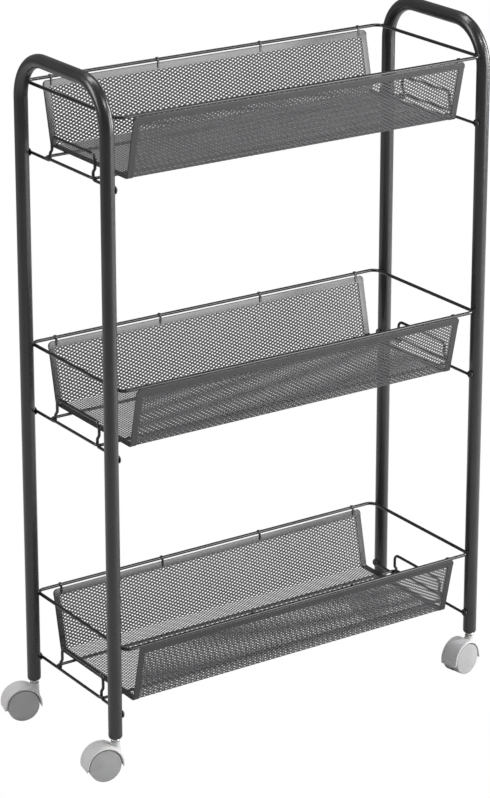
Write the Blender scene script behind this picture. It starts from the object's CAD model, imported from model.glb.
# %% [markdown]
# # A three-tier rolling cart, piece by piece
# The cart is two bent tube frames, three trays of stretched steel mesh hung on wire rims, and four
# swivel casters under light grey plastic hoods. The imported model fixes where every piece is. This
# script gives each piece the surface and the finish that the real one has.

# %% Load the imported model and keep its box
import math

import bpy
import numpy as np
from mathutils import Euler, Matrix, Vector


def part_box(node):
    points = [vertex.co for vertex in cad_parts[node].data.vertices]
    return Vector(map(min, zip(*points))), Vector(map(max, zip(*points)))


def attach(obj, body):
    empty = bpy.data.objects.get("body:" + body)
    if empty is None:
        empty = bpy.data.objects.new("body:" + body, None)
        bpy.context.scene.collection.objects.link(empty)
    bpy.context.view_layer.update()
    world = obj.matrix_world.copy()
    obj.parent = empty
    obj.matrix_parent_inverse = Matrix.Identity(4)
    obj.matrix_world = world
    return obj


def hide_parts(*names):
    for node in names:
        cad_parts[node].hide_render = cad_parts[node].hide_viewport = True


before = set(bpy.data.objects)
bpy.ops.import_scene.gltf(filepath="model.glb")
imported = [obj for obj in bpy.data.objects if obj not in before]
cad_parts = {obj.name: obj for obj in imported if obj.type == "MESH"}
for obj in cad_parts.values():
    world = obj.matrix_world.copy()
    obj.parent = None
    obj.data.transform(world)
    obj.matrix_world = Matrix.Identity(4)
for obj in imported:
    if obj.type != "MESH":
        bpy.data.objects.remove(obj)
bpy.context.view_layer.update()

# %% [markdown]
# ## Where things are
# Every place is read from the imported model, so nothing has to be fitted afterwards. A box of a bent
# tube gives the tube's radius and its axis, and a box of a wire loop gives the wire's thickness and
# its centreline. Only what a box can't tell, such as a bend radius, is a value of its own.

# %% Read the frame
MM = 0.001
TIERS = ("top", "middle", "bottom")
CORNERS = ("front_left", "front_right", "rear_left", "rear_right")
SIDES = {"left": -1, "right": 1}


def box_of(node):
    """The lowest and highest corners of a node, as two arrays in metres."""
    low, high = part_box(node)
    return np.array(low), np.array(high)


frame_low, frame_high = box_of("end_frame_right")
tube_r = (frame_high[0] - frame_low[0]) / 2
leg_x = (frame_high[0] + frame_low[0]) / 2
leg_y = frame_high[1] - tube_r
arch_z = frame_high[2] - tube_r
leg_end_z = frame_low[2]
arch_bend_r = 50 * MM
print(f"legs at x {leg_x:.4f}, y {leg_y:.4f}, tube radius {tube_r:.4f}")

# %% Read one tier
rim_low, rim_high = box_of("rim_wire_top")
rim_r = (rim_high[2] - rim_low[2]) / 2
rim_x = rim_high[0] - rim_r
rim_y = rim_high[1] - rim_r
rim_z = {t: (box_of("rim_wire_" + t)[0][2] + rim_r) for t in TIERS}

under_low, under_high = box_of("under_wire_top")
stay_r = (under_high[2] - under_low[2]) / 2
under_x = under_high[0] - stay_r
under_y = under_high[1] - stay_r
under_drop = rim_z["top"] - (under_low[2] + stay_r)

stop_low, stop_high = box_of("stop_right_top")
eyelet_face_x = stop_high[0]
eyelet_r = stop_high[1] - leg_y
eyelet_drop = rim_z["top"] - (stop_low[2] + eyelet_r)
stop_top = stop_high[2] - stay_r - (rim_z["top"] - eyelet_drop)

hem_low, hem_high = box_of("end_hems_top")
tray_x = hem_high[0]
floor_low = rim_z["top"] - hem_low[2]
side_low, side_high = box_of("side_hems_top")
hem_gap = rim_z["top"] - side_high[2]
hem_width = side_high[2] - side_low[2]
hem_t = 1.4 * MM
floor_drop = floor_low - hem_t / 2
floor_y = 80 * MM
wall_top_y = 96 * MM
wall_height = floor_drop - hem_gap
flare = (wall_top_y - floor_y) / wall_height
print("rim heights:", {t: round(float(z), 4) for t, z in rim_z.items()}, f"flare {flare:.3f}")

# %% [markdown]
# ## Two ways to make a surface
# Nearly every piece here is bar, tube or folded strip, so most surfaces are one outline carried along
# a path. The rest are turned: a profile spun about an axis. Both are grids of points, worked out as
# whole arrays, and one function puts a list of such grids into a mesh.
# A closed surface has a signed volume, and its sign tells whether its faces point outwards.

# %% Grids and meshes
def unit(v):
    """Vectors divided by their lengths, along the last axis."""
    v = np.asarray(v, float)
    return v / np.linalg.norm(v, axis=-1, keepdims=True)


def grid_faces(rows, columns, wrap_rows=False, wrap_columns=False):
    """Four-sided faces between neighbouring points of a grid that may close on itself."""
    i = np.arange(rows if wrap_rows else rows - 1)[:, None]
    j = np.arange(columns if wrap_columns else columns - 1)[None, :]
    i2, j2 = (i + 1) % rows, (j + 1) % columns
    quads = [i * columns + j, i * columns + j2, i2 * columns + j2, i2 * columns + j]
    return np.stack([np.broadcast_to(q, np.broadcast(i, j).shape) for q in quads], -1).reshape(-1, 4)


def outward(points, faces):
    """The faces, turned round if the closed surface's signed volume, the sum of a.(b x c) / 6
    over its triangles, is negative."""
    volume = 0.0
    for f in faces:
        for k in range(1, f.shape[1] - 1):
            a, b, c = points[f[:, 0]], points[f[:, k]], points[f[:, k + 1]]
            volume += np.einsum("ij,ij->i", a, np.cross(b, c)).sum()
    return faces if volume > 0 else [f[:, ::-1] for f in faces]


def surface(points, wrap_rows=False, wrap_columns=False):
    """A closed surface from a grid of points, its open end rows closed with one face each."""
    rows, columns = points.shape[:2]
    flat = points.reshape(-1, 3)
    faces = [grid_faces(rows, columns, wrap_rows, wrap_columns)]
    if not wrap_rows:
        faces.append(np.arange(columns)[None, ::-1])
        faces.append((rows - 1) * columns + np.arange(columns)[None, :])
    centre = flat.mean(axis=0)
    return flat, outward(flat - centre, faces)


def make_piece(name, parts, finish, body, stands_for=(), crease=35):
    """Puts closed surfaces, as (points, faces) pairs, into one mesh that rides on a body.
    Edges that turn by more than crease degrees stay sharp, and the rest are shaded smooth."""
    sizes, corners, start = [], [], 0
    for points, faces in parts:
        for f in faces:
            sizes.append(np.full(len(f), f.shape[1]))
            corners.append((f + start).ravel())
        start += len(points)
    sizes, corners = np.concatenate(sizes), np.concatenate(corners)
    mesh = bpy.data.meshes.new(name)
    mesh.vertices.add(start)
    mesh.vertices.foreach_set("co", np.concatenate([p for p, _ in parts]).astype(np.float32).ravel())
    mesh.loops.add(len(corners))
    mesh.loops.foreach_set("vertex_index", corners.astype(np.int32))
    mesh.polygons.add(len(sizes))
    mesh.polygons.foreach_set("loop_start", (np.cumsum(sizes) - sizes).astype(np.int32))
    mesh.update(calc_edges=True)
    mesh.validate()
    mesh.shade_smooth()
    mesh.set_sharp_from_angle(angle=math.radians(crease))
    mesh.materials.append(finish)
    obj = bpy.data.objects.new(name, mesh)
    bpy.context.scene.collection.objects.link(obj)
    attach(obj, body)
    if stands_for:
        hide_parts(*stands_for)
    return obj


# %% Paths and outlines
def rounded_path(corners, radii, closed=False, steps=10):
    """Points and directions along straight lines through the corners. Each inner corner becomes an
    arc: start + r sin t * (way in) + r (1 - cos t) * (square to it, towards the way out)."""
    corners = np.asarray(corners, float)
    count = len(corners)
    places, ways = [], []
    for i in range(count):
        way_in = unit(corners[i] - corners[i - 1])
        way_out = unit(corners[(i + 1) % count] - corners[i])
        if not closed and i in (0, count - 1):
            places.append(corners[i][None])
            ways.append((way_out if i == 0 else way_in)[None])
            continue
        turn = math.acos(np.clip(way_in @ way_out, -1, 1))
        start = corners[i] - radii[i] * math.tan(turn / 2) * way_in
        across = unit(way_out - (way_out @ way_in) * way_in)
        t = np.linspace(0, turn, steps + 1)[:, None]
        places.append(start + radii[i] * (np.sin(t) * way_in + (1 - np.cos(t)) * across))
        ways.append(np.cos(t) * way_in + np.sin(t) * across)
    return np.concatenate(places), np.concatenate(ways)


def carried(path, outline, up, closed=False):
    """An outline carried along a path: point + across * x + lift * y, where across is square to
    the path and to up. The outline may be one (M, 2) array or one for each point of the path."""
    places, ways = path
    across = unit(np.cross(ways, np.asarray(up, float)))
    lift = np.cross(across, ways)
    outline = np.broadcast_to(outline, (len(places),) + np.shape(outline)[-2:])
    grid = places[:, None] + outline[..., :1] * across[:, None] + outline[..., 1:] * lift[:, None]
    return surface(grid, wrap_rows=closed, wrap_columns=True)


def round_outline(radius, sides):
    """A circle as (x, y) points."""
    t = np.arange(sides) / sides * 2 * np.pi
    return radius * np.stack([np.cos(t), np.sin(t)], -1)


def block_outline(width, height, corner, steps=4):
    """A rectangle with rounded corners as (x, y) points, a quarter circle at each corner."""
    t = np.linspace(0, np.pi / 2, steps + 1)[None, :] + np.arange(4)[:, None] * np.pi / 2
    sign_x = np.array([1, -1, -1, 1])[:, None]
    sign_y = np.array([1, 1, -1, -1])[:, None]
    x = sign_x * (width / 2 - corner) + corner * np.cos(t)
    y = sign_y * (height / 2 - corner) + corner * np.sin(t)
    return np.stack([x.ravel(), y.ravel()], -1)


def turned(profile, centre, axis, sides=48):
    """A closed profile of (radius, height) points spun about an axis through centre:
    centre + axis * height + radius * (cos t * e1 + sin t * e2)."""
    axis = unit(axis)
    e1 = unit(np.cross(axis, [0.3, 0.2, 1.0] if abs(axis[2]) < 0.9 else [1.0, 0.2, 0.1]))
    e2 = np.cross(axis, e1)
    t = np.arange(sides) / sides * 2 * np.pi
    ring = np.cos(t)[:, None] * e1 + np.sin(t)[:, None] * e2
    profile = np.asarray(profile, float)
    grid = (np.asarray(centre, float) + profile[:, None, 1:] * axis
            + profile[:, None, :1] * ring[None])
    return surface(grid, wrap_rows=False, wrap_columns=True)


# %% [markdown]
# ## Finishes
# The steel is powder coated: charged dust is blown on and baked, which leaves a satin skin with a
# faint orange peel. The thin wires, hems and mesh get the same coat from a dip, so it lies thinner
# and a little glossier on them. Screws are blackened zinc, the caster stems bright zinc, and hoods and
# wheels are moulded polypropylene and nylon. Each finish is a node tree on Object coordinates, so a
# pattern keeps its real size on every piece.

# %% Colour and node helpers
def hex_colour(text):
    """A linear colour from sRGB hex: c / 12.92 below 0.04045, else ((c + 0.055) / 1.055) ** 2.4."""
    c = np.array([int(text[i:i + 2], 16) / 255 for i in (1, 3, 5)])
    linear = np.where(c <= 0.04045, c / 12.92, ((c + 0.055) / 1.055) ** 2.4)
    return (*linear.tolist(), 1.0)


def add_node(tree, kind, links=None, **settings):
    """Adds a node. Settings are its properties, and links maps an input's name or number to a
    value or to another node's output."""
    node = tree.nodes.new(kind)
    for key, value in settings.items():
        setattr(node, key, value)
    for key, value in (links or {}).items():
        if isinstance(value, bpy.types.NodeSocket):
            tree.links.new(value, node.inputs[key])
        else:
            node.inputs[key].default_value = value
    return node


def start_finish(name, **constants):
    """A material with a Principled shader whose constant inputs are set on its own sockets.
    Returns the material, its tree, the shader and the Object coordinates."""
    material = bpy.data.materials.new(name)
    material.use_nodes = True
    tree = material.node_tree
    tree.nodes.clear()
    shader = add_node(tree, "ShaderNodeBsdfPrincipled", constants)
    add_node(tree, "ShaderNodeOutputMaterial", {"Surface": shader.outputs[0]})
    place = add_node(tree, "ShaderNodeTexCoord").outputs["Object"]
    return material, tree, shader, place


def grain(tree, place, size_mm, detail=2.0, roughness=0.5):
    """Noise whose lumps are about size_mm across: a noise of scale s has s lumps to the metre."""
    links = {"Vector": place, "Scale": 1000 / size_mm, "Detail": detail, "Roughness": roughness}
    return add_node(tree, "ShaderNodeTexNoise", links).outputs["Fac"]


def spread(tree, value, low, high, from_low=0.3, from_high=0.7):
    """Stretches a noise value from its usual 0.3 to 0.7 onto low to high."""
    links = {0: value, 1: from_low, 2: from_high, 3: low, 4: high}
    return add_node(tree, "ShaderNodeMapRange", links).outputs[0]


def tint(tree, value, dark, light):
    """A colour between two hex colours, by a value from 0 to 1."""
    links = {"Factor": value, 6: hex_colour(dark), 7: hex_colour(light)}
    return add_node(tree, "ShaderNodeMix", links, data_type="RGBA").outputs[2]


def relief(tree, value, depth_mm, strength=1.0, under=None):
    """Bump of a real depth in millimetres, on top of another bump if one is given."""
    links = {"Height": value, "Distance": depth_mm * MM, "Strength": strength}
    if under is not None:
        links["Normal"] = under
    return add_node(tree, "ShaderNodeBump", links).outputs[0]


# %% [markdown]
# ### Powder coat on the frame tube
# Powder coat is polyester, so its IOR is about 1.5. It flows as it melts but keeps a peel of about
# 1.5 mm lumps, a few micrometres deep, that breaks a highlight up a little. Fine grit in the coat,
# drawn at 0.35 mm, takes the mirror out of it and leaves satin.

# %% The coats on the steel
def coat_finish(name, dark, light, gloss, peel_mm, peel_depth_mm, shine=0.5, grit_mm=0.35):
    """Baked coat: cloudy colour between two greys, roughness about gloss, peel and grit in relief.
    Shine is the specular level, 0.5 for clean resin and less where the pigment dulls it."""
    constants = {"IOR": 1.5, "Specular IOR Level": shine}
    material, tree, shader, place = start_finish(name, **constants)
    cloud = spread(tree, grain(tree, place, 35, detail=3), 0, 1)
    peel = grain(tree, place, peel_mm, detail=1)
    grit = grain(tree, place, grit_mm, detail=0)
    tree.links.new(tint(tree, cloud, dark, light), shader.inputs["Base Color"])
    tree.links.new(spread(tree, grit, gloss - 0.04, gloss + 0.05), shader.inputs["Roughness"])
    skin = relief(tree, peel, peel_depth_mm)
    tree.links.new(relief(tree, grit, peel_depth_mm / 4, under=skin), shader.inputs["Normal"])
    return material


powder_coat = coat_finish("charcoal_powder_coat", "#171718", "#1d1d1e", 0.29, 1.5, 0.010, 0.5)
wire_coat = coat_finish("black_dip_coat_on_wire", "#0c0c0d", "#121213", 0.26, 2.5, 0.008, 0.5)
hem_coat = coat_finish("black_dip_coat_on_hems", "#101011", "#161617", 0.28, 2.0, 0.008, 0.6)
mesh_coat = coat_finish("black_dip_coat_on_mesh", "#2a2a2c", "#303032", 0.34, 1.2, 0.006, 0.5)
print("coats:", powder_coat.name, wire_coat.name, hem_coat.name, mesh_coat.name)

# %% [markdown]
# ### Metals and plastics of the fittings
# Bright zinc on the stems is a metal with a soft milky gloss and turning marks round it. The
# screws are zinc passivated black, which looks like a dull oily black. Moulded polypropylene has the
# fine spark texture of its mould, drawn at 0.5 mm, and a wheel's nylon is smoother.

# %% Fittings
def zinc_finish(name, dark, light, gloss, mark_mm, metallic=1.0):
    """Plated metal: colour and roughness vary along fine marks stretched round the vertical."""
    material, tree, shader, place = start_finish(name, Metallic=metallic)
    lean = add_node(tree, "ShaderNodeMapping", {"Vector": place, "Scale": (0.15, 0.15, 1.0)})
    marks = grain(tree, lean.outputs[0], mark_mm, detail=2)
    tree.links.new(tint(tree, spread(tree, marks, 0, 1), dark, light), shader.inputs["Base Color"])
    tree.links.new(spread(tree, marks, gloss - 0.06, gloss + 0.08), shader.inputs["Roughness"])
    tree.links.new(relief(tree, marks, 0.01), shader.inputs["Normal"])
    return material


def moulded_finish(name, dark, light, gloss, texture_mm, depth_mm, glow=0.0):
    """Moulded plastic: slow colour drift from the melt's flow and a fine mould texture. A pale
    plastic lets a little light in, so its shadows stay soft."""
    soft = dict(IOR=1.49, **{"Subsurface Weight": glow, "Subsurface Scale": 0.001})
    material, tree, shader, place = start_finish(name, **soft)
    flow = spread(tree, grain(tree, place, 14, detail=2), 0, 1)
    texture = grain(tree, place, texture_mm, detail=1)
    tree.links.new(tint(tree, flow, dark, light), shader.inputs["Base Color"])
    tree.links.new(spread(tree, texture, gloss - 0.05, gloss + 0.05), shader.inputs["Roughness"])
    tree.links.new(relief(tree, texture, depth_mm), shader.inputs["Normal"])
    return material


bright_zinc = zinc_finish("bright_zinc_plate", "#c9c9c9", "#dededd", 0.28, 0.3)
black_zinc = zinc_finish("black_zinc_plate", "#1f1f20", "#2a2a2b", 0.42, 0.4, metallic=0.3)
hood_plastic = moulded_finish("grey_polypropylene", "#a6a6a6", "#adadad", 0.46, 0.5, 0.010, 0.1)
wheel_plastic = moulded_finish("grey_nylon", "#868686", "#8c8c8c", 0.40, 0.7, 0.006, 0.1)
socket_plastic = moulded_finish("black_nylon", "#1c1c1d", "#232324", 0.45, 0.5, 0.010)

# %% [markdown]
# ## End frames
# Each end frame is one length of thin steel tube bent over a former into an upside-down U. The cut
# ends are rolled in so that no edge scratches and the caster's plug is held. A cylinder with a bend
# modifier would pinch at the bends, so the tube is one closed surface instead: rings carried up one
# leg, over the arch and down the other, round the rolled lip, and back along the inner wall.

# %% End frames
TUBE_SIDES = 56
TUBE_WALL = 1.0 * MM
ROLL_R = tube_r / 2
ROLL_RINGS = 8
BEND_STEPS = 28


def tube_rings(side):
    """Centres, directions and radii of the rings of one frame, outside first and then inside.
    In the roll, at angle a, a ring is ROLL_R sin a below the straight tube and its radius is
    ROLL_R + (ROLL_R or ROLL_R - wall) cos a."""
    x = side * leg_x
    low = leg_end_z + ROLL_R
    corners = [(x, -leg_y, low), (x, -leg_y, arch_z), (x, leg_y, arch_z), (x, leg_y, low)]
    middle, ways = rounded_path(corners, [0, arch_bend_r, arch_bend_r, 0], steps=BEND_STEPS)
    a = np.linspace(0, np.pi / 2, ROLL_RINGS + 1)[1:]

    def run(radius, bend_r):
        drop = np.outer(bend_r * np.sin(a), [0, 0, 1])
        rolled = ROLL_R + bend_r * np.cos(a)
        centres = np.concatenate([(middle[0] - drop)[::-1], middle, middle[-1] - drop])
        start, end = (np.tile(way, (ROLL_RINGS, 1)) for way in (ways[0], ways[-1]))
        turns = np.concatenate([start, ways, end])
        radii = np.concatenate([rolled[::-1], np.full(len(middle), radius), rolled])
        return centres, turns, radii

    outside = run(tube_r, ROLL_R)
    inside = run(tube_r - TUBE_WALL, ROLL_R - TUBE_WALL)
    return [np.concatenate([o, i[::-1]]) for o, i in zip(outside, inside)]


for side_name, side in SIDES.items():
    centres, ways, radii = tube_rings(side)
    circle = round_outline(1.0, TUBE_SIDES)
    tube = carried((centres, ways), radii[:, None, None] * circle, (1, 0, 0), closed=True)
    node = "end_frame_" + side_name
    make_piece("frame_tube_" + side_name, [tube], powder_coat, "cart", [node])
print("rings in a frame tube:", len(radii))

# %% [markdown]
# ## Rim wires and their welds
# A rim is a rod bent into a rectangle that lies against the inner sides of the four legs. Each place
# where it meets a leg has a small weld, and the coat runs over rod, weld and tube alike. A weld
# is a flattened bead with a ripple, so it is a squashed ball whose radius waves along its length.

# %% Rims
RIM_BEND_R = 10 * MM
BEAD_HALF = (1.3 * MM, 3.2 * MM, 2.3 * MM)
BEAD_DROP = 0.2 * MM
BEAD_WAVE = 0.05
POLE_GAP = 0.06


def wire_loop(x, y, z, bend_r, wire_r, sides=16):
    """A rod of radius wire_r bent into a flat rectangle with rounded corners."""
    corners = [(-x, -y, z), (x, -y, z), (x, y, z), (-x, y, z)]
    path = rounded_path(corners, [bend_r] * 4, closed=True, steps=12)
    return carried(path, round_outline(wire_r, sides), (0, 0, 1), closed=True)


def weld_bead(centre, half_sizes, ripples=5):
    """A squashed ball: half size * (sin u cos v, sin u sin v, cos u), its first two parts times
    1 + wave * cos(ripples * v), with small flat ends in place of poles."""
    u = np.linspace(POLE_GAP, np.pi - POLE_GAP, 13)[:, None]
    v = np.linspace(0, 2 * np.pi, 21)[None, :-1]
    swell = 1 + BEAD_WAVE * np.cos(ripples * v)
    ball = np.stack([np.sin(u) * np.cos(v) * swell, np.sin(u) * np.sin(v) * swell,
                     np.cos(u) * np.ones_like(v)], -1)
    return surface(np.asarray(centre) + ball * np.asarray(half_sizes), wrap_columns=True)


contact_x = leg_x - tube_r
for tier in TIERS:
    z = rim_z[tier]
    parts = [wire_loop(rim_x, rim_y, z, RIM_BEND_R, rim_r)]
    for sx in (-1, 1):
        for sy in (-1, 1):
            parts.append(weld_bead((sx * contact_x, sy * leg_y, z - BEAD_DROP), BEAD_HALF))
    make_piece("rim_rod_" + tier, parts, wire_coat, "cart", ["rim_wire_" + tier])
print("rim rod radius:", round(float(rim_r), 4))

# %% [markdown]
# ## The stretched mesh
# The trays are stretched mesh: a steel sheet is slit in staggered rows and pulled, so the slits
# open into long diamonds and the strands between them twist out of the sheet. The twist shows as
# stripes that change with the angle. A texture with holes would lose both the twist and the edges,
# so each row of strands is real metal here: a bar that zigzags along the tray, with the section of
# a flat rhombus, which is thick in the middle and catches light on its slopes. Neighbouring rows
# zigzag opposite ways and meet at the knuckles.

# %% Mesh trays
DIAMOND_LONG = 7.2 * MM
DIAMOND_SHORT = 4.0 * MM
STRAND_WIDTH = 1.7 * MM
STRAND_T = 0.8 * MM
STRAND_TWIST = math.radians(8)
FOLD_R = 2.5 * MM
INSIDE_HEM = 4.0 * MM


def trough_path(z, reach, steps=8):
    """The tray's section across, from the rear wall's top over the floor to the front wall's top,
    in the plane x = 0. reach is how far below the rim the walls end."""
    top_y = floor_y + (floor_drop - reach) * flare
    corners = [(0, top_y, z - reach), (0, floor_y, z - floor_drop),
               (0, -floor_y, z - floor_drop), (0, -top_y, z - reach)]
    return rounded_path(corners, [0, FOLD_R, FOLD_R, 0], steps=steps)


def stretched_mesh(z):
    """Rows of zigzag bar. Row k runs at k * short / 2 across the sheet and swings by short / 4
    from knuckle to knuckle, each long / 2 apart, odd rows the other way. The bar's section is a
    rhombus that leans out of the sheet by the twist. The flat sheet is then laid along the tray's
    section."""
    places, ways = trough_path(z, hem_gap + hem_width - INSIDE_HEM)
    length = np.concatenate([[0], np.cumsum(np.linalg.norm(np.diff(places, axis=0), axis=1))])
    rows = int(length[-1] / (DIAMOND_SHORT / 2))
    half = tray_x - INSIDE_HEM
    knuckles = int(2 * half / (DIAMOND_LONG / 2)) + 1
    x = (np.arange(knuckles) - (knuckles - 1) / 2) * DIAMOND_LONG / 2
    k = np.arange(rows)[:, None]
    swing = DIAMOND_SHORT / 4 * (-1.0) ** (np.arange(knuckles)[None, :] + k)
    middle = (length[-1] - (rows - 1) * DIAMOND_SHORT / 2) / 2 + k * DIAMOND_SHORT / 2 + swing
    mitre = STRAND_WIDTH / math.cos(math.atan2(DIAMOND_SHORT, DIAMOND_LONG)) / 2
    wide = mitre * np.array([1, 0, -1, 0])
    thick = STRAND_T / 2 * np.array([0, -1, 0, 1])
    along = wide * math.cos(STRAND_TWIST) - thick * math.sin(STRAND_TWIST)
    out = wide * math.sin(STRAND_TWIST) + thick * math.cos(STRAND_TWIST)
    t = np.clip(middle[..., None] + along, 0, length[-1])
    y = np.interp(t, length, places[:, 1])
    height = np.interp(t, length, places[:, 2])
    way_y = np.interp(t, length, ways[:, 1])
    way_z = np.interp(t, length, ways[:, 2])
    grid = np.stack([np.broadcast_to(x[None, :, None], t.shape), y + out * way_z,
                     height - out * way_y], -1)
    return [surface(bar, wrap_columns=True) for bar in grid]


for tier in TIERS:
    bars = stretched_mesh(rim_z[tier])
    tray = make_piece("stretched_mesh_" + tier, bars, mesh_coat, "cart",
                      ["mesh_tray_" + tier], crease=180)
print("rows of strands:", len(bars), "faces in a tray:", len(tray.data.polygons))

# %% [markdown]
# ## Folded hems
# Cut mesh has sharp ends, so a steel strip is folded over every edge. Seen from the end it is a
# narrow U: a round fold outside and two thin lips pressed onto the mesh. The outline with its round
# fold and its slot is carried along the edge. Along the long top edges the strip's corners are
# rounded off, so there its height shrinks towards each end.

# %% Hem outline
LIP_T = 0.45 * MM
SLOT_END = 1 * MM
END_HEM_DROP = 1 * MM
SIDE_HEM_EXTRA = 0.1 * MM
HEM_CORNER_R = 5 * MM


def fold_outline(width, thickness, steps=7):
    """A U on its side, as (across, along) points: a half circle at along = width, straight sides,
    rounded lips at along = 0, and a slot between the lips 1 mm deep."""
    r = thickness / 2
    t = np.linspace(-np.pi / 2, np.pi / 2, 2 * steps + 1)
    fold = np.stack([r * np.sin(t), width - r + r * np.cos(t)], -1)
    lip = LIP_T * 0.4
    upper = [(r, lip), (r - lip, 0), (r - LIP_T, lip), (r - LIP_T, SLOT_END)]
    lower = [(-across, along) for across, along in upper[::-1]]
    return np.concatenate([fold, upper, lower])


# %% Hems round each tray
def end_hem(side, z):
    """The strip up one open end: the fold outline laid along the tray's section, fold outwards."""
    places, ways = trough_path(z, hem_gap + hem_width - END_HEM_DROP)
    outline = fold_outline(hem_width, hem_t)
    outline = np.stack([outline[:, 0], side * (tray_x - hem_width + outline[:, 1])], -1)
    return carried((places, ways), outline, (1, 0, 0))


def side_hem(side, z):
    """The strip along one long top edge. At distance d past the start of a rounded corner its
    height is less by r - sqrt(r^2 - d^2)."""
    slope = math.hypot(1, flare)
    outline = fold_outline(hem_width * slope, hem_t + SIDE_HEM_EXTRA)
    curve = np.sin(np.linspace(0, np.pi / 2, 12))
    end = tray_x - HEM_CORNER_R + HEM_CORNER_R * curve
    x = np.concatenate([-end[::-1], end])
    d = np.clip(np.abs(x) - (tray_x - HEM_CORNER_R), 0, HEM_CORNER_R)
    drop = HEM_CORNER_R - np.sqrt(np.maximum(HEM_CORNER_R ** 2 - d ** 2, 0))
    share = 1 - drop / hem_width
    rise = share[:, None] * outline[None, :, 1]
    low_y = floor_y + (floor_drop - hem_gap - hem_width) * flare
    y = low_y + (rise * flare + outline[None, :, 0]) / slope
    height = z - hem_gap - hem_width + (rise - outline[None, :, 0] * flare) / slope
    grid = np.stack([np.broadcast_to(x[:, None], y.shape), side * y, height], -1)
    return surface(grid, wrap_columns=True)


for tier in TIERS:
    z = rim_z[tier]
    make_piece("end_strips_" + tier, [end_hem(s, z) for s in (-1, 1)], hem_coat, "cart",
               ["end_hems_" + tier])
    make_piece("side_strips_" + tier, [side_hem(s, z) for s in (-1, 1)], hem_coat, "cart",
               ["side_hems_" + tier])
print("hem width:", round(float(hem_width), 4))

# %% [markdown]
# ## Lugs
# Four short straps on each long side hang the tray from its rim. Each is welded to the inside of
# the hem and bent over the rod. It is a small rounded strip carried up the hem and round the rod.

# %% Lugs
LUG_WIDTH = 3.0 * MM
LUG_T = 1.0 * MM
LUG_FOOT_Z = -9 * MM
LUG_EDGE_R = 0.3 * MM
LUGS_A_SIDE = 4
LUG_TURN = (188, 62)
lug_low, lug_high = box_of("rim_tabs_top")
lug_span = lug_high[0] - LUG_WIDTH / 2
lug_x = np.linspace(-lug_span, lug_span, LUGS_A_SIDE)


def lug(x, side, z):
    """A strip from the hem's inner face up to the rod, and round it between the turn's angles."""
    slope = math.hypot(1, flare)
    inset = (hem_t + LUG_T) / 2 * slope
    foot_y = floor_y + (floor_drop + LUG_FOOT_Z) * flare - inset
    bend_r = rim_r + LUG_T / 2
    t = np.radians(np.linspace(*LUG_TURN, 14))
    arc = np.stack([rim_y + bend_r * np.cos(t), bend_r * np.sin(t)], -1)
    turn = np.stack([np.sin(t), -np.cos(t)], -1)
    foot = np.array([[foot_y, LUG_FOOT_Z]])
    middle = np.concatenate([foot, arc])
    ways = np.concatenate([unit(arc[:1] - foot), turn])
    full = np.zeros((len(middle), 3))
    full[:, 0] = x
    full[:, 1] = side * middle[:, 0]
    full[:, 2] = z + middle[:, 1]
    way = np.zeros_like(full)
    way[:, 1] = side * ways[:, 0]
    way[:, 2] = ways[:, 1]
    return carried((full, way), block_outline(LUG_T, LUG_WIDTH, LUG_EDGE_R), (1, 0, 0))


for tier in TIERS:
    lugs = [lug(x, side, rim_z[tier]) for x in lug_x for side in (-1, 1)]
    make_piece("lugs_" + tier, lugs, wire_coat, "cart", ["rim_tabs_" + tier])
print("lugs on a tier:", len(lugs))

# %% [markdown]
# ## Wires under the tray and at its ends
# A loop of thinner wire lies under the floor, held by the two end stops. Each stop is one wire that
# runs from leg to leg, rises in the middle so that nothing slides out, and ends in flat
# eyelets. The eyelets are hammered flat and punched, so they are rings of flat strip.

# %% Loops and stops
UNDER_BEND_R = 6 * MM
STOP_HALF = 45.5 * MM
STOP_BENDS = [4 * MM, 3 * MM, 3 * MM, 7 * MM]
KINK = 2.4 * MM
KINK_Z = 9 * MM
EYELET_T = 1.6 * MM
EYELET_HOLE_R = 2.15 * MM
EYELET_EDGE_R = 0.45 * MM
STAY_END_GAP = 3.9 * MM
STAY_INSET = 0.05 * MM


def eyelet(side, y, z):
    """A flat ring standing square to X: a rounded block carried round a circle."""
    t = np.arange(40) / 40 * 2 * np.pi
    middle_r = (eyelet_r + EYELET_HOLE_R) / 2
    zero = np.zeros_like(t)
    centre = np.array([side * (eyelet_face_x - EYELET_T / 2), y, z])
    places = centre + middle_r * np.stack([zero, np.cos(t), np.sin(t)], -1)
    ways = np.stack([zero, -np.sin(t), np.cos(t)], -1)
    outline = block_outline(eyelet_r - EYELET_HOLE_R, EYELET_T, EYELET_EDGE_R)
    return carried((places, ways), outline, (1, 0, 0), closed=True)


def end_stop(side, z):
    """The stop's wire from eyelet to eyelet, with its feet, kinks and top corners rounded."""
    x = side * (eyelet_face_x - stay_r - STAY_INSET)
    inner = x - side * KINK
    kink_top = KINK_Z + KINK * 4 / 3
    half = [(x, leg_y - STAY_END_GAP, 0), (x, STOP_HALF, 0), (x, STOP_HALF, KINK_Z),
            (inner, STOP_HALF, kink_top), (inner, STOP_HALF, stop_top)]
    front = [(px, -py, pz + z) for px, py, pz in half]
    back = [(px, py, pz + z) for px, py, pz in half[::-1]]
    radii = [0, *STOP_BENDS, *STOP_BENDS[::-1], 0]
    path = rounded_path(front + back, radii, steps=7)
    wire = carried(path, round_outline(stay_r, 16), (1, 0, 0.001))
    return [wire] + [eyelet(side, s * leg_y, z) for s in (-1, 1)]


for tier in TIERS:
    z = rim_z[tier]
    loop = wire_loop(under_x, under_y, z - under_drop, UNDER_BEND_R, stay_r)
    make_piece("under_loop_" + tier, [loop], wire_coat, "cart",
               ["under_wire_" + tier])
    for side_name, side in SIDES.items():
        node = f"stop_{side_name}_{tier}"
        make_piece(f"end_stop_{side_name}_{tier}", end_stop(side, z - eyelet_drop), wire_coat,
                   "cart", [node])
print("eyelet radius:", round(float(eyelet_r), 4))

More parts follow.
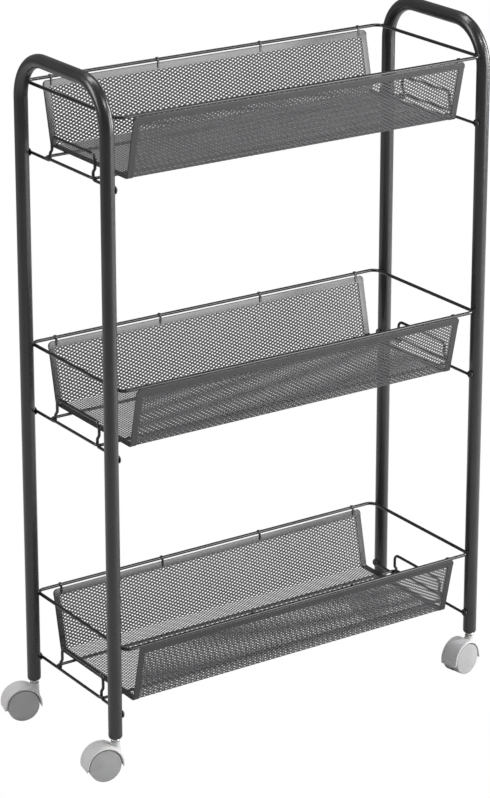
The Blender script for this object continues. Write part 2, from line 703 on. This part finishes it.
# %% [markdown]
# ## Screws
# The eyelets are held by pan-head screws with a cross recess. The head is a square grid pushed
# out to a disc, so that its lines run straight along the recess near the middle, and the recess
# comes out with clean walls.

# %% Screws
HEAD_R = 3.6 * MM
HEAD_H = 2.2 * MM
DOME_R = 4.1 * MM
SLOT_HALF = 0.45 * MM
SLOT_LONG = 1.8 * MM
SLOT_DEEP = 1.0 * MM
SCREW_R = 2.1 * MM
SCREW_L = 7.6 * MM
SCREW_CORE = 0.4 * MM
TIP_R = 1.2 * MM
TIP_L = 1 * MM


def screw_head(centre, side):
    """A disc from the square grid (u, v): x = u sqrt(1 - v^2 / 2), y = v sqrt(1 - u^2 / 2). Its
    height is the dome's, less the recess where the point is in one of the two slots."""
    steps = np.array([-1, -0.85, -0.68, -0.56, -0.5, -0.46, -0.3, -0.16, -0.125, -0.06])
    lines = np.concatenate([steps, [0], -steps[::-1]])
    u, v = np.meshgrid(lines, lines, indexing="ij")
    x = HEAD_R * u * np.sqrt(1 - v ** 2 / 2)
    y = HEAD_R * v * np.sqrt(1 - u ** 2 / 2)
    dome = np.sqrt(DOME_R ** 2 - np.minimum(x ** 2 + y ** 2, HEAD_R ** 2)) - DOME_R + HEAD_H
    wide = SLOT_HALF / HEAD_R + 0.001
    long = SLOT_LONG / HEAD_R + 0.001
    slot = ((abs(u) < wide) & (abs(v) < long)) | ((abs(v) < wide) & (abs(u) < long))
    height = dome - SLOT_DEEP * slot
    count = len(lines)
    top = np.stack([-side * height, x, y], -1).reshape(-1, 3)
    number = np.arange(count * count).reshape(count, count)
    edge = np.concatenate([number[:-1, 0], number[-1, :-1], number[:0:-1, -1], number[0, :0:-1]])
    base = top[edge] * [0, 1, 1]
    points = np.concatenate([top, base])
    low = count * count + np.arange(len(edge))
    skirt = np.stack([edge, np.roll(edge, -1), np.roll(low, -1), low], -1)
    faces = [grid_faces(count, count)[:, ::-1], skirt[:, ::-1], low[None]]
    return points + centre, outward(points, faces)


def screw(side, sy, z):
    """One screw: its head on the eyelet and its shank through the leg's inner wall."""
    seat = np.array([side * (eyelet_face_x - EYELET_T), sy * leg_y, z])
    profile = [(SCREW_CORE, 0), (SCREW_R, 0), (SCREW_R, SCREW_L - TIP_L), (TIP_R, SCREW_L)]
    return [screw_head(seat, side), turned(profile, seat, (side, 0, 0), sides=24)]


for tier in TIERS:
    z = rim_z[tier] - eyelet_drop
    four = [part for side in (-1, 1) for sy in (-1, 1) for part in screw(side, sy, z)]
    make_piece("screw_set_" + tier, four, black_zinc, "cart", ["screws_" + tier])
print("screw head radius:", HEAD_R)

# %% [markdown]
# ## Casters
# A caster's hood is moulded in one piece: a wide arched cover with rounded lips, a middle web that
# carries the axle, and a boss under the leg for the stem. The hood is worked out in its own
# frame, with the swivel axis at the origin and the wheels trailing along -X, and then turned to
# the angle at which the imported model's axle lies.

# %% Read each caster
TRAIL = 16 * MM
AXLE_Z = 19 * MM
HOOD_IN = 20 * MM
HOOD_OUT = 23 * MM
HOOD_HALF = 12 * MM
BOSS_R = 5.5 * MM
BOSS_TOP = leg_end_z - 2.8 * MM
BOSS_FLARE = 1.6 * MM
BOSS_SINK = 0.8 * MM
BOSS_INSET = 1.4 * MM
CROWN = 0.5 * MM
COVER_LIP_R = 1.2 * MM
END_INSIDE = 4.9
END_OUTSIDE = -11.5
WEB_EXTRA = 0.4 * MM
WEB_LOW = -8 / 20.4
WEB_HALF = (-2.0, -1.9, -1.6, 1.6, 1.9, 2.0)
WEB_SHRINK = (0.98, 0.995, 1.0, 1.0, 0.995, 0.98)


def caster_place(corner):
    """The swivel axis of a caster and its angle, from where its axle lies."""
    sx = 1 if corner.endswith("right") else -1
    sy = 1 if corner.startswith("rear") else -1
    low, high = box_of("axle_" + corner)
    axis = np.array([sx * leg_x, sy * leg_y])
    back = axis - ((low + high) / 2)[:2]
    return axis, math.atan2(back[1], back[0])


def placed(part, corner):
    """A part worked out in the caster's own frame, turned about Z and moved to its leg."""
    points, faces = part
    axis, angle = caster_place(corner)
    c, s = math.cos(angle), math.sin(angle)
    turn = np.array([[c, -s, 0], [s, c, 0], [0, 0, 1]])
    return points @ turn.T + [*axis, 0], faces


for corner in CORNERS:
    axis, angle = caster_place(corner)
    print(corner, "swivel", round(math.degrees(angle), 1))

# %% [markdown]
# ### The hood
# The cover is a shell outline, three millimetres thick with rounded lips, carried over the wheels
# round the axle. Its ends are cut on a slant, so they finish as points just below the axle.
# The boss is a turned stub whose foot spreads onto the cover, with its foot's height taken from the
# cover's own curve so that the two meet all round.

# %% Hoods
def hood_cover():
    """A shell round the axle: at radius r and width y, swept from end angle to end angle. The end
    angle falls from 4.9 degrees above the axle inside to 11.5 below it outside."""
    outline = block_outline(HOOD_OUT - HOOD_IN, 2 * HOOD_HALF, COVER_LIP_R, steps=6)
    radius = (HOOD_IN + HOOD_OUT) / 2 + outline[:, 0]
    share = (radius - HOOD_IN) / (HOOD_OUT - HOOD_IN)
    radius = radius - CROWN * share * (outline[:, 1] / HOOD_HALF) ** 2
    end = np.radians(END_INSIDE - (END_INSIDE - END_OUTSIDE) * share)
    u = np.linspace(0, 1, 61)[:, None]
    angle = end + u * (np.pi - 2 * end)
    grid = np.stack([-TRAIL + radius * np.cos(angle),
                     np.broadcast_to(outline[:, 1], angle.shape),
                     AXLE_Z + radius * np.sin(angle)], -1)
    return surface(grid, wrap_columns=True)


def hood_boss():
    """A stub round the stem, with a seat sunk in its top. Towards its foot its radius grows by
    1.6 mm times the fourth power of the way down, and its foot lies just inside the cover."""
    v = np.array([0.12, 0.25, 0.4, 0.55, 0.68, 0.78, 0.86, 0.93, 1.0])[:, None]
    t = np.arange(56)[None, :] / 56 * 2 * np.pi
    seat = np.array([(3.4, 1.3), (4.4, 1.3), (4.7, 0.1), (5.1, 0.0), (5.45, 0.3)]) * MM
    r = np.concatenate([seat[:, :1], BOSS_R + BOSS_FLARE * v ** 4])
    x = np.minimum(r * np.cos(t), HOOD_OUT - TRAIL - BOSS_INSET)
    y = r * np.sin(t)
    foot = AXLE_Z + np.sqrt((HOOD_OUT - BOSS_SINK) ** 2 - (x + TRAIL) ** 2)
    top = np.broadcast_to(BOSS_TOP - seat[:, 1:], (len(seat), x.shape[1]))
    z = np.concatenate([top, BOSS_TOP + (foot[len(seat):] - BOSS_TOP) * v])
    return surface(np.stack([x, y, z], -1), wrap_columns=True)


def hood_web():
    """The plate between the wheels: a D whose outline is an arc inside the cover, closed by a
    straight lower edge, with its long edges eased by 0.4 mm."""
    radius = HOOD_IN + WEB_EXTRA
    start = math.asin(WEB_LOW)
    arc = np.linspace(start, np.pi - start, 41)
    outline = np.stack([radius * np.cos(arc), radius * np.sin(arc)], -1)
    half = np.array(WEB_HALF) * MM
    shrink = np.array(WEB_SHRINK)
    grid = np.stack([-TRAIL + shrink[:, None] * outline[None, :, 0],
                     np.broadcast_to(half[:, None], (len(half), len(arc))),
                     AXLE_Z + shrink[:, None] * outline[None, :, 1]], -1)
    return surface(grid, wrap_columns=True)


for corner in CORNERS:
    hood = [placed(part, corner) for part in (hood_cover(), hood_boss(), hood_web())]
    make_piece("caster_hood_" + corner, hood, hood_plastic, "caster_" + corner,
               ["hood_" + corner])
print("hoods made:", len(CORNERS))

# %% [markdown]
# ### Wheels
# Each caster has two small wheels with plain, slightly domed faces. The wheel is turned: hub
# bore, hollow inner side, rounded tread edges and the dome, as one closed profile.

# %% Wheels
WHEEL_R = 19 * MM
WHEEL_IN = 2.3 * MM
WHEEL_W = 9 * MM
DOME_H = 1.1 * MM
BORE_R = 2.1 * MM
BORE_END = 8.5 * MM
POLE_R = 0.05 * MM
HUB_T = 2.45 * MM
TREAD_T = 3 * MM
FACE_T = 0.5 * MM
EASE = 0.4 * MM
CHAMFER = 0.2 * MM
DRAFT = 0.3 * MM


def arc_points(radius, height, size, first, last, steps=6):
    """Points of a rounded edge in a profile: centre (radius, height), angles in degrees."""
    t = np.radians(np.linspace(first, last, steps))
    return [(radius + size * math.cos(a), height + size * math.sin(a)) for a in t]


def wheel_profile():
    """(radius, height) points from the bore's blind end, over the inner side, tread and dome."""
    hub_r = BORE_R + HUB_T
    pit_r = WHEEL_R - TREAD_T
    pit = WHEEL_W / 2 - FACE_T
    inner = [(POLE_R, BORE_END), (BORE_R, BORE_END), (BORE_R, CHAMFER), (BORE_R + CHAMFER, 0),
             (hub_r, 0), (hub_r + DRAFT, pit), (pit_r - DRAFT, pit), (pit_r, CHAMFER)]
    edge = arc_points(WHEEL_R - EASE, EASE, EASE, -90, 0)
    rim = arc_points(WHEEL_R - EASE, WHEEL_W - EASE, EASE, 0, 80)
    shares = np.linspace(0.94, 0.003, 14)
    face = [(WHEEL_R * k, WHEEL_W + DOME_H * (1 - k * k)) for k in shares]
    return inner + [(pit_r + DRAFT, 0)] + edge + rim + face


for corner in CORNERS:
    for letter, half in (("a", 1), ("b", -1)):
        centre = (-TRAIL, half * WHEEL_IN, AXLE_Z)
        wheel = turned(wheel_profile(), centre, (0, half, 0), sides=96)
        node = f"wheel_{corner}_{letter}"
        make_piece(f"caster_wheel_{corner}_{letter}", [placed(wheel, corner)], wheel_plastic, node,
                   [node])
print("profile points of a wheel:", len(wheel_profile()))

# %% [markdown]
# ### Stems, plugs and axles
# The stem is a turned steel pin with a collar that the leg rests on. Only the bright collar shows,
# above a dark gap where the boss turns under it. The plugs and axle pins are inside, and their
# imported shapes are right, so they keep those and only get their finish.

# %% Stems and hidden pieces
STEM_R = 3.2
COLLAR_R = 5.0
COLLAR_GAP = 0.2 * MM


def stem_profile():
    """(radius, height) points from the stem's foot in the boss, over the collar and the groove
    that the plug snaps into, to its tip. Heights are from the foot, the collar's top or the tip."""
    low, high = box_of("stem_front_left")
    foot = [(0.3, 0), (3.0, 0), (STEM_R, 0.4)]
    collar = [(STEM_R, -3.0), (3.9, -2.6), (3.9, -1.9), (4.7, -1.7), (COLLAR_R, -1.3),
              (COLLAR_R, -0.4), (4.7, 0), (STEM_R, 0)]
    tip = [(STEM_R, -6), (2.7, -5.4), (2.7, -4), (STEM_R, -3.4), (3.1, -0.8), (2.4, 0), (0.3, 0)]
    levels = ((foot, low[2]), (collar, leg_end_z - COLLAR_GAP), (tip, high[2]))
    return [(r * MM, level + h * MM) for points, level in levels for r, h in points]


for corner in CORNERS:
    axis, _ = caster_place(corner)
    stem = turned(stem_profile(), (*axis, 0), (0, 0, 1), sides=48)
    make_piece("caster_stem_" + corner, [stem], bright_zinc, "cart",
               ["stem_" + corner])
    for node, finish in (("leg_socket_", socket_plastic), ("axle_", bright_zinc)):
        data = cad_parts[node + corner].data
        data.materials.clear()
        data.materials.append(finish)
print("stems made:", len(CORNERS))

# %% [markdown]
# ## The studio
# The cart is shown on plain white, as goods are in a catalogue. Dark tubes read by what they
# reflect, so to the lights the floor and the sky are greys, and only to the camera are they white.
# Five soft panels then draw the lines down the legs and over the arches.

# %% Floor and lights
FLOOR_HALF = 40.0
SKY_STRENGTH = 0.3


def white_to_camera(tree, shader):
    """The shader as the lights see it, and plain white as the camera sees it."""
    path = add_node(tree, "ShaderNodeLightPath")
    white = add_node(tree, "ShaderNodeEmission", {"Color": (1, 1, 1, 1), "Strength": 1.0})
    links = {0: path.outputs["Is Camera Ray"], 1: shader.outputs[0], 2: white.outputs[0]}
    both = add_node(tree, "ShaderNodeMixShader", links)
    tree.links.new(both.outputs[0], tree.get_output_node("ALL").inputs["Surface"])


def studio_floor():
    """A wide floor just under the wheels, light grey with a faint drift in tone."""
    material, tree, shader, place = start_finish("studio_floor_paper", Roughness=0.7)
    drift = spread(tree, grain(tree, place, 900, detail=2), 0, 1)
    tree.links.new(tint(tree, drift, "#cccccc", "#d4d4d4"), shader.inputs["Base Color"])
    white_to_camera(tree, shader)
    mesh = bpy.data.meshes.new("studio_floor")
    corners = FLOOR_HALF * np.array([(-1, -1, 0), (1, -1, 0), (1, 1, 0), (-1, 1, 0)])
    mesh.from_pydata(corners, [], [(0, 1, 2, 3)])
    mesh.materials.append(material)
    floor = bpy.data.objects.new("studio_floor", mesh)
    bpy.context.scene.collection.objects.link(floor)


def softbox(name, place, target, size, power):
    """A rectangular light at place, facing target."""
    data = bpy.data.lights.new(name, "AREA")
    data.shape = "RECTANGLE"
    data.size, data.size_y = size
    data.energy = power
    lamp = bpy.data.objects.new(name, data)
    bpy.context.scene.collection.objects.link(lamp)
    way = np.asarray(target, float) - np.asarray(place, float)
    lamp.location = place
    lamp.rotation_euler = Euler((math.atan2(math.hypot(way[0], way[1]), -way[2]), 0,
                                 math.atan2(way[1], way[0]) - math.pi / 2))
    lamp.visible_camera = False


studio_floor()
softbox("key_panel", (1.3, -1.95, 0.95), (0, 0, 0.8), (1.0, 1.5), 52)
softbox("right_panel", (2.0, -0.7, 1.15), (0, 0, 0.8), (0.3, 1.7), 60)
softbox("left_panel", (-2.1, 0.8, 1.6), (0, 0, 0.8), (0.5, 1.6), 36)
softbox("top_strip", (0.0, 0.6, 2.7), (0, 0, 0.4), (2.2, 0.3), 36)
softbox("bend_strip", (0.2, -1.7, 2.5), (0, 0, 0.8), (0.9, 0.25), 26)
world = bpy.data.worlds.new("studio")
bpy.context.scene.world = world
world.use_nodes = True
sky = world.node_tree.nodes["Background"]
sky.inputs["Color"].default_value = (1, 1, 1, 1)
sky.inputs["Strength"].default_value = SKY_STRENGTH
white_to_camera(world.node_tree, sky)
bpy.context.scene.view_settings.view_transform = "Standard"

# %% [markdown]
# ## The camera
# A long lens from the front left, looking down at about 17 degrees. The lens is moved up on its
# mount a little, so that the legs converge less.

# %% Camera
LOOK_YAW = math.radians(33.95)
LOOK_DOWN = math.radians(17.43)
LENS = 134.0
LENS_SHIFT = -0.193
camera_data = bpy.data.cameras.new("camera")
camera_data.sensor_width = 36.0
camera_data.lens = LENS
camera_data.shift_y = LENS_SHIFT
camera_data.clip_end = 200.0
camera = bpy.data.objects.new("camera", camera_data)
bpy.context.scene.collection.objects.link(camera)
camera.location = (-1.821, -2.682, 1.578)
camera.rotation_euler = Euler((math.pi / 2 - LOOK_DOWN, 0, -LOOK_YAW))
bpy.context.scene.camera = camera
print("camera lens:", LENS, "shift:", LENS_SHIFT)
